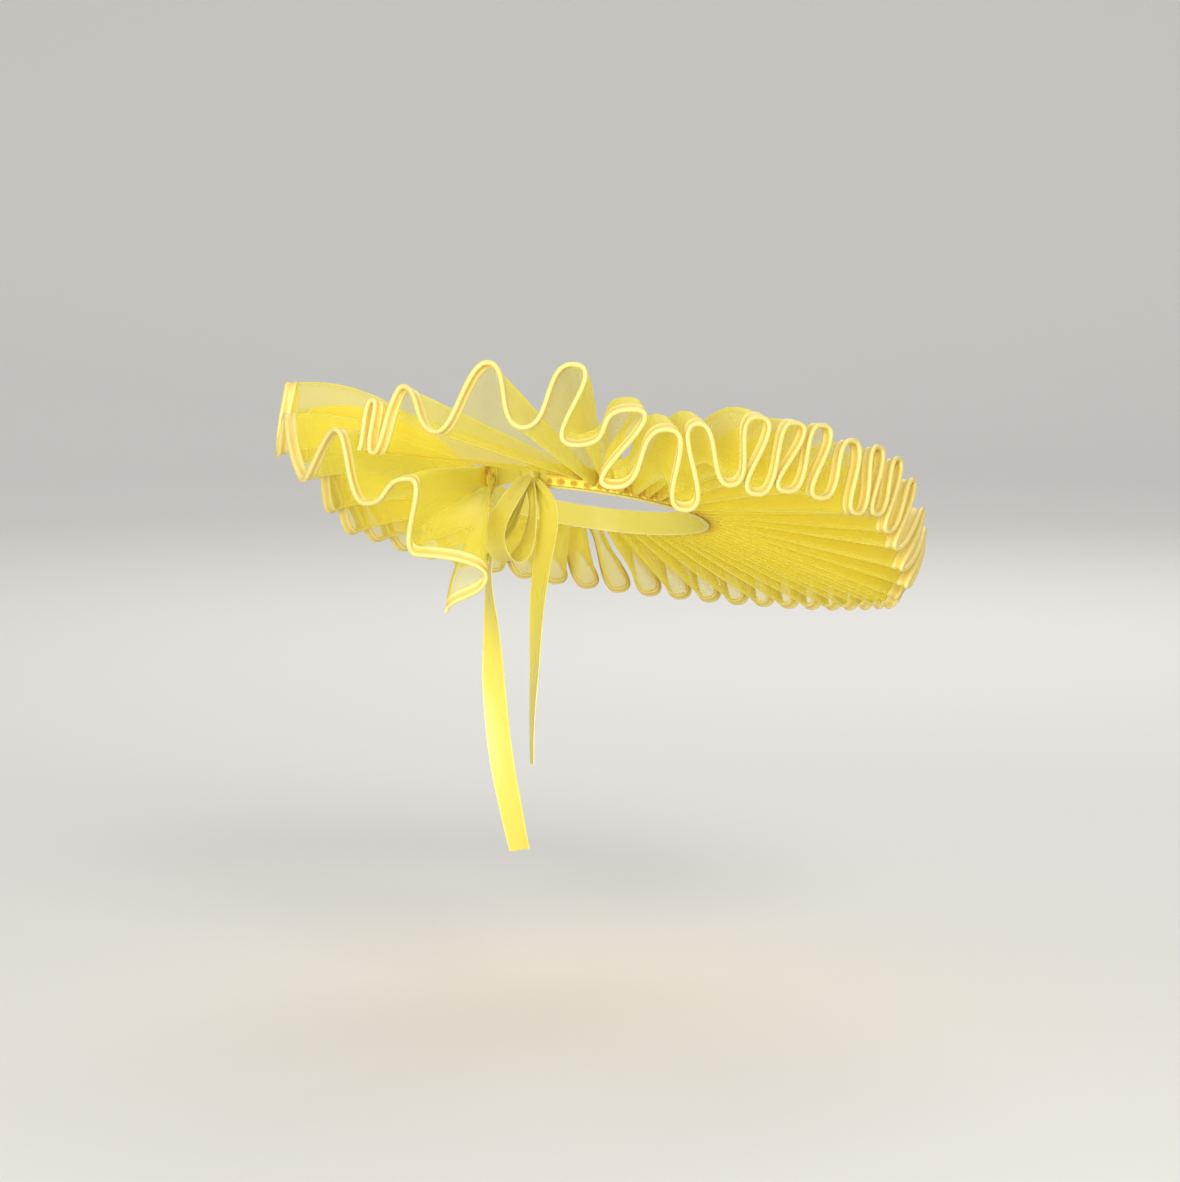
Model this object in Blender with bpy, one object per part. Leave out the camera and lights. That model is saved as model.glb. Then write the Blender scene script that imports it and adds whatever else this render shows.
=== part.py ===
"""Ruff collar: one long strip of organza, cartridge pleated onto a ribbon neckband, its rim
bound in satin, and tied behind in a bow.

Everything is placed by azimuth, reach and height. Azimuth is in degrees from the centre back,
rising round the wearer's right shoulder, past the front, to the left shoulder. Reach is the
distance from the upright axis through the middle of the neck. Height is above that middle.
"""

from typing import NamedTuple

import bpy
import numpy as np

MM = 0.001

# Neckband and pleats
NECK_REACH = 75 * MM          # axis to the middle of the band
BAND_HEIGHT = 15 * MM
BAND_WALL = 1.5 * MM
NECK_SLOPE = 0.285            # the neck stands this much higher, for its reach, behind than before
BAND_FROM = -2.0              # degrees: the band's right end lies behind the knot
BAND_TO = 336.0               # degrees: its left end, short of the centre back
PLEAT_FROM = 9.0              # degrees: first fold at the neck
PLEAT_TO = 335.6              # degrees: last fold at the neck
PLEAT_TOP = 14.0 * MM         # above the band's lower edge
PLEAT_FOOT = 1.5 * MM
LAST_PLEAT_TOP = 9.0 * MM     # the last pleat stands lower, where the end droops
SEAM_GAP = 0.3 * MM           # between pieces that are sewn together
BINDING_SEAM = 0.75 * MM      # a little more, since the two edges twist together

# Strip
STRIP_WIDTH = 143 * MM        # neck seam to the outer edge of the binding
RIM_REACH = 212 * MM          # about as far as the rim reaches
CLOTH_WALL = 1.0 * MM
BINDING_WIDTH = 8.0 * MM
BINDING_WALL = 2.4 * MM
COLUMNS_A_TURN = 6            # from one turn of a fold to the next
FINE_STEPS = 40               # along each turn, to space the columns
NECK_SWING = 0.95             # share of the half pitch that a pleat swings at the neck
MIDDLES = (0.45, 0.8)         # shares of the cloth's way where its wall has a row of points
DROOP = 18 * MM               # how strongly the cloth turns down at the strip's left end
DROOP_POWER = 8               # the bend lies closer to the rim, the higher this is
DROOP_TURNS = 4.0             # turns before that end where the droop begins
DROOP_WHOLE = 1.5             # turns before it where the droop is whole
BOW = 45 * MM                 # how strongly the cloth over the left shoulder arches before that
BOW_POWER = 3
BOW_SHARES = ((262, 277, 292, 307, 315, 325), (0, 0.5, 1, 1, 0.5, 0))   # by degrees at the neck
LENGTH_NAMES = ("right_back", "right_front", "left_front", "left_back")
LENGTH_STARTS = (0.0, 0.25, 0.5, 0.75)   # shares of the whole strip
BAND_COLUMNS = 85

# Bow
RIBBON_WIDTH = 16 * MM
RIBBON_WALL = 1.0 * MM
RIBBON_STEPS = 2              # columns from one row to the next
KNOT_AZIMUTH = 0.5
KNOT_REACH = 80.1 * MM
KNOT_HEIGHT = 28.5 * MM
KNOT_SIZE = (11 * MM, 8 * MM, 12 * MM)   # sideways, outwards, upright
KNOT_SIDES = 12
KNOT_LEVELS = 5
KNOT_DRAWN_IN = 0.3           # share of its size lost at the top and the foot
KNOT_SQUARE = 4               # power that squares its section: 2 is round
TIE_TO = 356.2                # degrees: the left tie ends at the knot
TIE_COLUMNS = 9
TIE_PINCH = 0.6               # its height at the knot, as a share of the band's


class Row(NamedTuple):
    """A point of a ribbon's middle line, in millimetres, and how its width lies there.

    turn is the way the width points, in degrees from the wearer's right towards behind, and
    dip how far that end of it drops. share is how much of the full width shows: it is drawn
    together at the knot.
    """

    right: float
    behind: float
    height: float
    turn: float
    dip: float
    share: float


RIBBONS = {
    "bow_loop_right": (
        Row(1.5, 85.2, 26, 8, 0, 0.35),
        Row(0.3, 94.5, 20, 8, 0, 0.8),
        Row(-3.5, 105.9, 7.5, 8, 0, 1),
        Row(-4.9, 112.5, -4.5, 8, 0, 1),
        Row(-2.6, 113.5, -16, 8, 0, 1),
        Row(1.1, 107.9, -23, 8, 0, 1),
        Row(4.2, 99.2, -21, 12, 0, 1),
        Row(6.8, 93.2, -12, 26, 0, 1),
        Row(8.1, 90.0, 1.5, 36, 0, 0.9),
        Row(7.0, 87.2, 13, 32, 0, 0.6),
        Row(3.2, 82.2, 21, 14, 0, 0.3),
    ),
    "bow_loop_left": (
        Row(-3.4, 81.4, 21.6, -6, 37, 0.3),
        Row(-9.5, 84.0, 11, -6, 37, 0.6),
        Row(-17, 87.5, 1, -6, 37, 1),
        Row(-25, 90.5, -9, -6, 37, 1),
        Row(-32, 91.5, -18.5, -6, 37, 1),
        Row(-36, 87.5, -24, -6, 37, 1),
        Row(-32.5, 81.5, -19.5, -6, 37, 1),
        Row(-26, 79.0, -11, -6, 37, 1),
        Row(-19, 77.5, -1, -6, 37, 1),
        Row(-11, 77.0, 10, -6, 37, 0.6),
        Row(-4.0, 78.6, 21.4, -6, 37, 0.3),
    ),
    "tail_short": (
        Row(3.6, 78.2, 20.8, 7, 0, 0.3),
        Row(11.5, 81.7, 17, 7, 0, 0.6),
        Row(17.4, 84.4, 8, 9, 0, 0.9),
        Row(18.2, 87.0, -6, 12, 0, 1),
        Row(15.2, 89.6, -28, 16, 0, 1),
        Row(13.6, 92.7, -55, 24, 0, 1),
        Row(13.8, 95.9, -90, 28, 0, 1),
        Row(14.0, 99.3, -125, 32, 0, 1),
        Row(14.9, 101.1, -152, 36, 0, 1),
    ),
    "tail_long": (
        Row(-1.9, 83.6, 21.2, 8, 0, 0.3),
        Row(-4.6, 89.5, 12, 30, 0, 0.6),
        Row(-9.8, 95.6, -1, 50, 0, 0.9),
        Row(-14.8, 99.5, -16, 56, 0, 1),
        Row(-15.0, 103.5, -40, 44, 0, 1),
        Row(-11.1, 106.8, -72, 18, 0, 1),
        Row(-7.8, 109.6, -105, -5, 0, 1),
        Row(-2.3, 111.0, -145, -12, 0, 1),
        Row(4.8, 110.4, -180, -5, 0, 1),
        Row(10.6, 109.3, -206, 5, 0, 1),
    ),
}


class Fold(NamedTuple):
    """One wave of the rim, crest then trough: azimuths in degrees, heights in millimetres.

    fall is how far, in degrees, the rim swings on past the crest before it comes down, and
    back past the trough before it turns. rise is the same for the way up to the next crest.
    tuck is how much less, in millimetres, the cloth reaches at the trough, where it bows, and
    draw is how much less it reaches at the crest.
    """

    crest: float
    crest_height: float
    trough: float
    trough_height: float
    fall: float
    rise: float
    tuck: float = 0.0
    draw: float = 0.0


class Turn(NamedTuple):
    """Where the rim turns: azimuth, height in millimetres, and the way it heads there.

    heading is 0 along the rim and -90 straight down, and swing_in and swing_out are the lengths
    of its handles, in degrees of azimuth.
    """

    azimuth: float
    height: float
    heading: float
    swing_in: float
    swing_out: float
    tuck: float = 0.0


RIGHT_FOLDS = (
    Fold(-13.8, 81, -11.6, 50, 2.4, 2.4),
    Fold(-9.4, 81, -7.2, 48, 2.4, 2.6),
    Fold(-5.0, 90, 2.4, 64, 4.5, 4.0),
    Fold(10.8, 106, 18.5, 68, 5.0, 5.0),
    Fold(26.4, 105, 27.4, 57, 8.0, 7.0),
    Fold(36.4, 78, 33.6, 32, 8.5, 5.5),
    Fold(41.9, 66, 44.9, 18, 6.5, 5.5),
    Fold(47.4, 69, 52.4, 32, 4.0, 5.0),
    Fold(58.0, 72, 57.6, 26, 8.0, 4.0),
    Fold(65.0, 68, 63.6, 27, 9.0, 4.0),
    Fold(71.1, 66, 70.4, 22, 8.5, 4.5),
    Fold(78.1, 56, 78.8, 11, 7.0, 4.0),
    Fold(85.5, 51, 84.5, 9, 7.0, 4.0),
    Fold(92.3, 42, 88.5, -3, 7.0, 4.0),
    Fold(98.5, 27, 92.5, -15, 7.0, 4.0),
    Fold(105.5, 6, 97.0, -30, 7.0, 4.0),
    Fold(112.5, -9, 102.5, -43, 7.0, 4.0),
)
LEFT_FOLDS = (
    Fold(305.5, 84, 310.5, 39, 4.0, 4.0, 11, 8),
    Fold(316.0, 66, 330.0, 28, 3.0, 3.5, 6, 10),
    Fold(340.3, 62, 347.9, 18, 4.0, 5.5),
    Fold(356.6, 34, 358.2, -13, 5.0, 6.0),
)
# The strip's left end doubles back under itself and droops.
END_TURNS = (
    Turn(369.5, -28, -105, 3.0, 3.2),
    Turn(362.0, -48, -115, 3.0, 0.0),
)
FRONT_FOLDS = 30
FRONT_RISE = 4.5              # degrees, as a Fold's rise


class Level(NamedTuple):
    """The front's folds about one azimuth, in degrees and millimetres.

    middle is the rim's mean height and half_wave the height of its waves above and below it.
    lag is how many degrees a trough lies behind its crest. tuck, draw and fall are as for a Fold.
    """

    azimuth: float
    middle: float
    half_wave: float
    lag: float
    tuck: float
    draw: float = 0.0
    fall: float = 8.0


FRONT_LEVELS = (
    Level(112, -26, 17, 10, 6),
    Level(122, -38, 20, 8, 10),
    Level(140, -49, 22, 2, 8),
    Level(160, -56, 23, 1, 3),
    Level(190, -57, 23, 1, 0),
    Level(225, -42, 23, 1, 0),
    Level(255, -12, 23, 1, 0, 0),
    Level(266, 2, 21, 1, 2, 2, 6),
    Level(274, 33, 19, 1, 9, 9, 6),
    Level(281, 43, 17, 1, 16, 16),
    Level(290, 46, 17, 1, 21, 21),
    Level(300, 47, 18, 1, 23, 23),
)


def front_folds():
    """Even folds round the front, their heights read from a smooth line through the levels."""
    first, last = RIGHT_FOLDS[-1].crest, LEFT_FOLDS[0].crest
    crests = np.linspace(first, last, FRONT_FOLDS + 2)[1:-1]
    azimuths, *columns = np.array(FRONT_LEVELS).T
    middle, half_wave, lag, tuck, draw, fall = (smooth_line(crests, azimuths, c) for c in columns)
    rows = zip(crests, middle + half_wave, crests - lag, middle - half_wave, fall, tuck, draw)
    return tuple(Fold(*row[:5], FRONT_RISE, *row[5:]) for row in rows)


def smooth_line(at, xs, ys):
    """Cubic through the points (xs, ys), with the slope at each from its two neighbours."""
    slopes = np.gradient(ys, xs)
    i = np.clip(np.searchsorted(xs, at, side="right") - 1, 0, len(xs) - 2)
    step = xs[i + 1] - xs[i]
    t = (at - xs[i]) / step
    return (
        ys[i] * (1 + 2 * t) * (1 - t) ** 2
        + slopes[i] * step * t * (1 - t) ** 2
        + ys[i + 1] * t**2 * (3 - 2 * t)
        - slopes[i + 1] * step * t**2 * (1 - t)
    )


def point(azimuth, reach, height):
    turned = np.radians(azimuth)
    return np.stack([-reach * np.sin(turned), reach * np.cos(turned), height + 0 * reach], -1)


def neck_plane(azimuth):
    """Height of the band's lower edge."""
    return NECK_SLOPE * NECK_REACH * np.cos(np.radians(azimuth))


def bezier(start, leave, arrive, end, t):
    return (
        start * (1 - t) ** 3
        + 3 * leave * t * (1 - t) ** 2
        + 3 * arrive * t**2 * (1 - t)
        + end * t**3
    )


def meander(turns, reach, columns):
    """A smooth line through the turns: between two of them, a cubic curve on their handles.

    Its columns are spaced evenly by length and by how much the line bends, half and half.
    """
    t = np.linspace(0, 1, FINE_STEPS + 1)
    at = np.linspace(0, 1, columns, endpoint=False)
    degree = np.radians(reach)
    found = []
    for a, b in zip(turns, turns[1:]):
        leave, arrive = np.radians(a.heading), np.radians(b.heading)
        azimuth = bezier(
            a.azimuth,
            a.azimuth + a.swing_out * np.cos(leave),
            b.azimuth - b.swing_in * np.cos(arrive),
            b.azimuth,
            t,
        )
        height = bezier(
            a.height * MM,
            a.height * MM + a.swing_out * degree * np.sin(leave),
            b.height * MM - b.swing_in * degree * np.sin(arrive),
            b.height * MM,
            t,
        )
        step = np.diff(azimuth) * degree + 1j * np.diff(height)
        length = np.concatenate([[0], np.cumsum(np.abs(step))])
        bend = np.concatenate([[0, 0], np.cumsum(np.abs(np.angle(step[1:] / step[:-1])))])
        measure = length / length[-1] + bend / bend[-1]
        place = np.interp(at * measure[-1], measure, t)
        tuck = a.tuck + (b.tuck - a.tuck) * at**2 * (3 - 2 * at)
        found.append((np.interp(place, t, azimuth), np.interp(place, t, height), tuck * MM))
    azimuth, height, tuck = np.concatenate(found, axis=1)
    last = turns[-1]
    return (
        np.append(azimuth, last.azimuth),
        np.append(height, last.height * MM),
        np.append(tuck, last.tuck * MM),
    )


def rim_turns():
    """Every crest and trough of the rim, from the strip's right end to its left end."""
    folds = RIGHT_FOLDS + front_folds() + LEFT_FOLDS
    turns = []
    rise = 0.0
    for fold in folds:
        turns.append(Turn(fold.crest, fold.crest_height, 0, rise, fold.fall, fold.draw))
        turns.append(Turn(fold.trough, fold.trough_height, 0, fold.fall, fold.rise, fold.tuck))
        rise = fold.rise
    return turns + list(END_TURNS)


def neck_turns(count):
    """Even turns along the band, up to its head and down to its foot by turns."""
    azimuths = np.linspace(PLEAT_FROM, PLEAT_TO, count)
    swing = NECK_SWING * (azimuths[1] - azimuths[0])
    rises = (PLEAT_TOP / MM, PLEAT_FOOT / MM)
    heights = [rises[i % 2] for i in range(count)]
    heights[-2] = LAST_PLEAT_TOP / MM
    return [Turn(*place, 0, swing, swing) for place in zip(azimuths, heights)]


def strip_edges(columns=COLUMNS_A_TURN):
    """The strip's neck edge and rim edge, column by column, from the right end to the left."""
    turns = rim_turns()
    azimuth, height, tuck = meander(turns, RIM_REACH, columns)
    neck_azimuth, neck_rise, _ = meander(neck_turns(len(turns)), NECK_REACH, columns)
    neck_reach = NECK_REACH + BAND_WALL / 2 + SEAM_GAP
    neck_height = neck_rise + neck_plane(neck_azimuth)

    # The cloth is as wide everywhere, so each rim point lies the strip's width from its neck point.
    turned = np.radians(azimuth - neck_azimuth)
    reach = neck_reach * np.cos(turned) + np.sqrt(
        STRIP_WIDTH**2 - (height - neck_height) ** 2 - (neck_reach * np.sin(turned)) ** 2
    )
    return point(neck_azimuth, neck_reach, neck_height), point(azimuth, reach - tuck, height)


def unit(vectors):
    return vectors / np.linalg.norm(vectors, axis=-1, keepdims=True)


def wall(name, grid, normals, thickness, material):
    """A closed wall: the grid's points moved half the thickness out and in, and the edges closed."""
    rows, columns = grid.shape[:2]
    outer = (grid + normals * thickness / 2).reshape(-1, 3)
    inner = (grid - normals * thickness / 2).reshape(-1, 3)
    index = np.arange(rows * columns).reshape(rows, columns)
    under = index + rows * columns

    def quads(a, b):
        """Faces between two like grids of indices: along a, then back along b."""
        return np.stack([a[:-1], a[1:], b[1:], b[:-1]], -1).reshape(-1, 4)

    top = np.stack([index[:-1, :-1], index[1:, :-1], index[1:, 1:], index[:-1, 1:]], -1)
    low = np.stack([under[:-1, :-1], under[:-1, 1:], under[1:, 1:], under[1:, :-1]], -1)
    faces = [
        top.reshape(-1, 4),
        low.reshape(-1, 4),
        quads(under[:, 0], index[:, 0]),
        quads(index[:, -1], under[:, -1]),
        quads(index[0], under[0]),
        quads(under[-1], index[-1]),
    ]
    solid(name, np.concatenate([outer, inner]), np.concatenate(faces), material)


def solid(name, points, faces, material):
    mesh = bpy.data.meshes.new(name)
    mesh.from_pydata(points.tolist(), [], [face.tolist() for face in faces])
    mesh.materials.append(material)
    mesh.shade_smooth()
    mesh.set_sharp_from_angle(angle=np.radians(40))
    mesh.update()
    piece = bpy.data.objects.new(name, mesh)
    bpy.context.scene.collection.objects.link(piece)


def finish(name, hex_colour, roughness):
    """A cloth's material, its colour given as sRGB hex."""
    srgb = np.array([int(hex_colour[i : i + 2], 16) for i in (0, 2, 4)]) / 255
    linear = np.where(srgb <= 0.04045, srgb / 12.92, ((srgb + 0.055) / 1.055) ** 2.4)
    material = bpy.data.materials.new(name)
    material.use_nodes = True
    shader = material.node_tree.nodes["Principled BSDF"]
    shader.inputs["Base Color"].default_value = (*linear, 1)
    shader.inputs["Roughness"].default_value = roughness
    shader.inputs["Metallic"].default_value = 0
    return material


def neck_clearance(neck, rim, course):
    """How far along the cloth from the band its middle starts, so that its near corner clears.

    It is more where the cloth leaves the band askew.
    """
    away, radial = unit(rim - neck), unit(neck * [1, 1, 0])
    facing = unit(np.cross(unit(course), away))
    reaching_in = np.abs((facing * radial).sum(1)) * CLOTH_WALL / 2
    return reaching_in / (away * radial).sum(1)


def smooth_step(low, high, value):
    t = np.clip((value - low) / (high - low), 0, 1)
    return t * t * (3 - 2 * t)


def lifts_of(neck, rim):
    """The two ways in which the cloth leaves the straight line, as pairs of a lift and a power.

    A lift is how far, and which way, a column is raised: at share v of its way by v - v^power.
    Over the left shoulder the cloth arches, and at the left end it turns down close to the rim.
    """
    turn = np.arange(len(rim)) / COLUMNS_A_TURN
    droop = smooth_step(turn[-1] - DROOP_TURNS, turn[-1] - DROOP_WHOLE, turn)
    azimuth = np.degrees(np.arctan2(-neck[:, 0], neck[:, 1])) % 360
    bow = np.interp(azimuth, *BOW_SHARES)
    outward = unit(rim - neck)
    up = unit([0, 0, 1] - outward * outward[:, 2:])
    return ((up * (bow * BOW)[:, None], BOW_POWER), (up * (droop * DROOP)[:, None], DROOP_POWER))


def lengths_of_strip(organza, satin):
    """The strip in its joined lengths, and the binding that runs along each one's rim."""
    neck, rim = strip_edges()
    neck_course, rim_course = np.gradient(neck, axis=0), np.gradient(rim, axis=0)
    width = np.linalg.norm(rim - neck, axis=1)
    cloth_start = neck_clearance(neck, rim, neck_course) / width
    cloth_end = 1 - (BINDING_WIDTH + BINDING_SEAM) / width
    shares = {
        "ruff": [cloth_start * (1 - m) + cloth_end * m for m in (0, *MIDDLES, 1)],
        "binding": (1 - BINDING_WIDTH / width, np.ones(len(width))),
    }
    makes = {"ruff": (CLOTH_WALL, organza), "binding": (BINDING_WALL, satin)}
    last = len(rim) - 1
    lifts = lifts_of(neck, rim)
    starts = [round(last * share / COLUMNS_A_TURN) * COLUMNS_A_TURN for share in LENGTH_STARTS]
    for length, first, end in zip(LENGTH_NAMES, starts, starts[1:] + [last]):
        run = slice(first, end + 1)
        outward = unit(rim[run] - neck[run])[:, None]
        for piece, across in shares.items():
            share = np.stack(across, 1)[run, :, None]
            grid = neck[run, None] * (1 - share) + rim[run, None] * share
            course = unit(neck_course[run, None] * (1 - share) + rim_course[run, None] * share)
            away = outward * STRIP_WIDTH
            for lift, power in lifts:
                grid = grid + lift[run, None] * (share - share**power)
                away = away + lift[run, None] * (1 - power * share ** (power - 1))
            away = unit(away)
            if first > 0:
                grid[0] += course[0] * SEAM_GAP / 2
            if end < last:
                grid[-1] -= course[-1] * SEAM_GAP / 2
            wall(f"{piece}_{length}", grid, unit(np.cross(course, away)), *makes[piece])


def neckband(satin):
    azimuth = np.linspace(BAND_FROM, BAND_TO, BAND_COLUMNS)
    reach = np.full(len(azimuth), NECK_REACH)
    low = point(azimuth, reach, neck_plane(azimuth))
    grid = low[:, None] + np.array([0, 1])[None, :, None] * [0, 0, BAND_HEIGHT]
    outward = unit(low * [1, 1, 0])[:, None] + 0 * grid
    wall("neckband", grid, outward, BAND_WALL, satin)


def tie(satin):
    """The ribbon from the band's left end, across the opening at the back, to the knot."""
    azimuth = np.linspace(BAND_TO + np.degrees(SEAM_GAP / NECK_REACH), TIE_TO, TIE_COLUMNS)
    reach = np.linspace(NECK_REACH, KNOT_REACH, TIE_COLUMNS)
    low = point(azimuth, reach, neck_plane(azimuth))
    share = np.linspace(1, TIE_PINCH, TIE_COLUMNS)[:, None, None]
    middle = low + [0, 0, BAND_HEIGHT / 2]
    grid = middle[:, None] + share * np.array([-1, 1])[None, :, None] * [0, 0, BAND_HEIGHT / 2]
    outward = unit(low * [1, 1, 0])[:, None] + 0 * grid
    wall("tie_left", grid, outward, RIBBON_WALL, satin)


def ribbon(name, rows, satin):
    """A ribbon along the rows' points, its width turned and narrowed as they say."""
    table = np.array(rows)
    at = np.arange(len(table))
    fine = np.linspace(0, len(table) - 1, RIBBON_STEPS * (len(table) - 1) + 1)
    right, behind, height, turn, dip, share = (smooth_line(fine, at, c) for c in table.T)
    centre = np.stack([-right, behind, height], -1) * MM
    course = unit(np.gradient(centre, axis=0))
    turn, dip = np.radians(turn), np.radians(dip)
    level = np.cos(dip)
    across = np.stack([-np.cos(turn) * level, np.sin(turn) * level, -np.sin(dip)], -1)
    across = unit(across - course * (across * course).sum(-1, keepdims=True))
    half = (across * share[:, None] * RIBBON_WIDTH / 2)[:, None]
    grid = centre[:, None] + np.array([-1, 1])[None, :, None] * half
    normals = np.cross(course, across)[:, None] + 0 * grid
    wall(name, grid, normals, RIBBON_WALL, satin)


def knot(satin):
    """A wrapped knot: rounded sections, one above the other, drawn in at the top and the foot."""
    around = np.linspace(0, 2 * np.pi, KNOT_SIDES, endpoint=False)
    levels = np.linspace(-1, 1, KNOT_LEVELS)
    swell = 1 - KNOT_DRAWN_IN * levels**KNOT_SQUARE
    centre = point(KNOT_AZIMUTH, KNOT_REACH, KNOT_HEIGHT)
    outward = unit(centre * [1, 1, 0])
    sideways = np.cross(outward, [0, 0, 1])
    squared = (np.abs(np.cos(around)) ** KNOT_SQUARE + np.abs(np.sin(around)) ** KNOT_SQUARE) ** (
        -1 / KNOT_SQUARE
    )
    section = (
        np.outer(np.cos(around) * squared * KNOT_SIZE[0] / 2, sideways)
        + np.outer(np.sin(around) * squared * KNOT_SIZE[1] / 2, outward)
    )
    rings = (
        centre
        + swell[:, None, None] * section[None]
        + levels[:, None, None] * [0, 0, KNOT_SIZE[2] / 2]
    )
    index = np.arange(KNOT_LEVELS * KNOT_SIDES).reshape(KNOT_LEVELS, KNOT_SIDES)
    beside = np.roll(index, -1, axis=1)
    sides = np.stack([index[:-1], beside[:-1], beside[1:], index[1:]], -1).reshape(-1, 4)
    solid("bow_knot", rings.reshape(-1, 3), [*sides, index[0, ::-1], index[-1]], satin)


def clear_scene():
    for piece in list(bpy.data.objects):
        bpy.data.objects.remove(piece)


def main():
    clear_scene()
    organza = finish("organza", "DBC846", 0.45)
    binding_satin = finish("binding_satin", "F0DC68", 0.4)
    ribbon_satin = finish("ribbon_satin", "ECE12D", 0.3)
    lengths_of_strip(organza, binding_satin)
    neckband(ribbon_satin)
    tie(ribbon_satin)
    knot(ribbon_satin)
    for name, rows in RIBBONS.items():
        ribbon(name, rows, ribbon_satin)


main()
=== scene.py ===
"""Ruff collar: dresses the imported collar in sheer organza, a folded satin binding and ribbon.

Azimuth is in degrees from the centre back, rising round the wearer's right shoulder. Reach is
the distance from the upright axis through the neck. Lengths are in metres unless a name or a
table says millimetres.
"""

from typing import NamedTuple

import bpy
import numpy as np
from bpy.props import FloatProperty, FloatVectorProperty, IntProperty, PointerProperty
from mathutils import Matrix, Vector


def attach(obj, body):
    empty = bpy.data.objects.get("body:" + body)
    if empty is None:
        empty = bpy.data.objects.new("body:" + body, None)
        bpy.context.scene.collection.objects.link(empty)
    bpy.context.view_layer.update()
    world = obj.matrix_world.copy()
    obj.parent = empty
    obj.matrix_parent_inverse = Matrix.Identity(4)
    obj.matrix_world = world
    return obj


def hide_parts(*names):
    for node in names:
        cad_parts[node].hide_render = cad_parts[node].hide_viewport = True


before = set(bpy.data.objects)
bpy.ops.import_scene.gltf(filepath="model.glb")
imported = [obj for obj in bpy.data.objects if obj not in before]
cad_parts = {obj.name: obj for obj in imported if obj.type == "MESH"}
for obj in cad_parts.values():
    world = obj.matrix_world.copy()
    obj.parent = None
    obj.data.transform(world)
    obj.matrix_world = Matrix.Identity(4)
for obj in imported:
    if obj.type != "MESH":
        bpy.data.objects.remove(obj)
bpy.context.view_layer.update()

bl_info = {
    "name": "Ruff collar",
    "version": (1, 0, 0),
    "blender": (4, 5, 0),
    "location": "View3D > Sidebar > Ruff",
    "description": "Makes a worn ruff collar of organza, folded satin binding and ribbon",
    "category": "Add Mesh",
}

MM = 0.001
UP = np.array([0.0, 0.0, 1.0])

# ---------------- shape tables

NECK_REACH = 75 * MM
BAND_HEIGHT = 15 * MM
BAND_WALL = 1.5 * MM
NECK_SLOPE = 0.285            # the neck stands this much higher, for its reach, behind than before
BAND_FROM = -2.0              # azimuths of the band's two ends
BAND_TO = 336.0
PLEAT_FROM = 9.0              # azimuths of the first and the last turn at the neck
PLEAT_TO = 335.6
PLEAT_TOP = 14.0              # millimetres above the band's lower edge, as are the next three
PLEAT_FOOT = 1.5
LAST_PLEAT_TOP = 9.0
FIRST_PLEAT_FEET = (11.0, 9.0, 6.5, 3.5)    # the right end's pleats are lifted over the knot
SEAM_GAP = 0.3 * MM           # from the band's face to the neck line
STRIP_WIDTH = 143 * MM
RIM_REACH = 212 * MM          # of the upright cylinder on which the rim's line is drawn
FINE_STEPS = 40               # steps in which the curve from turn to turn is measured
NECK_SWING = 0.95             # of the way to the next turn: the handles of the neck's turns
LENGTH_NAMES = ("right_back", "right_front", "left_front", "left_back")
LENGTH_STARTS = (0.0, 0.25, 0.5, 0.75)
CUT_SHORT = 1.14              # turns: the right end is cut just past its first trough


class Fold(NamedTuple):
    """One wave of the rim, crest then trough: azimuths in degrees, heights in millimetres.

    fall and rise are how far the rim swings on past its turns, and tuck and draw how much less,
    in millimetres, the cloth reaches at the trough and the crest.
    """

    crest: float
    crest_height: float
    trough: float
    trough_height: float
    fall: float
    rise: float
    tuck: float = 0.0
    draw: float = 0.0


class Turn(NamedTuple):
    """Where a line turns: azimuth, height in millimetres and heading; its handles, in degrees."""

    azimuth: float
    height: float
    heading: float
    swing_in: float
    swing_out: float
    tuck: float = 0.0


RIGHT_FOLDS = (
    Fold(-16.0, 81, -15.0, 50, 1.8, 2.0),
    Fold(-13.5, 81, -12.0, 49, 2.4, 2.6),
    Fold(-6.9, 90, 2.4, 64, 4.5, 4.0),
    Fold(10.8, 106, 18.5, 68, 5.0, 5.0),
    Fold(26.4, 105, 27.4, 57, 8.0, 7.0),
    Fold(36.4, 78, 33.6, 32, 8.5, 5.5),
    Fold(41.9, 66, 44.9, 18, 6.5, 5.5),
    Fold(47.4, 69, 52.4, 32, 4.0, 5.0),
    Fold(58.0, 72, 57.6, 26, 8.0, 4.0),
    Fold(65.0, 68, 63.6, 27, 9.0, 4.0),
    Fold(71.1, 66, 70.4, 22, 8.5, 4.5),
    Fold(78.1, 56, 78.8, 11, 7.0, 4.0),
    Fold(85.5, 51, 84.5, 9, 7.0, 4.0),
    Fold(92.3, 42, 88.5, -3, 7.0, 4.0),
    Fold(98.5, 27, 92.5, -15, 7.0, 4.0),
    Fold(105.5, 6, 97.0, -30, 7.0, 4.0),
    Fold(112.5, -9, 102.5, -43, 7.0, 4.0),
)
LEFT_FOLDS = (
    Fold(305.5, 84, 310.5, 39, 4.0, 4.0, 11, 8),
    Fold(316.0, 66, 330.0, 28, 3.0, 3.5, 6, 10),
    Fold(340.3, 62, 347.9, 18, 4.0, 5.5),
    Fold(356.6, 34, 358.2, -13, 5.0, 6.0),
)
END_TURNS = (
    Turn(369.5, -28, -105, 3.0, 3.2),
    Turn(362.0, -48, -115, 3.0, 0.0),
)
FRONT_FOLDS = 30
FRONT_RISE = 4.5
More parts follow.
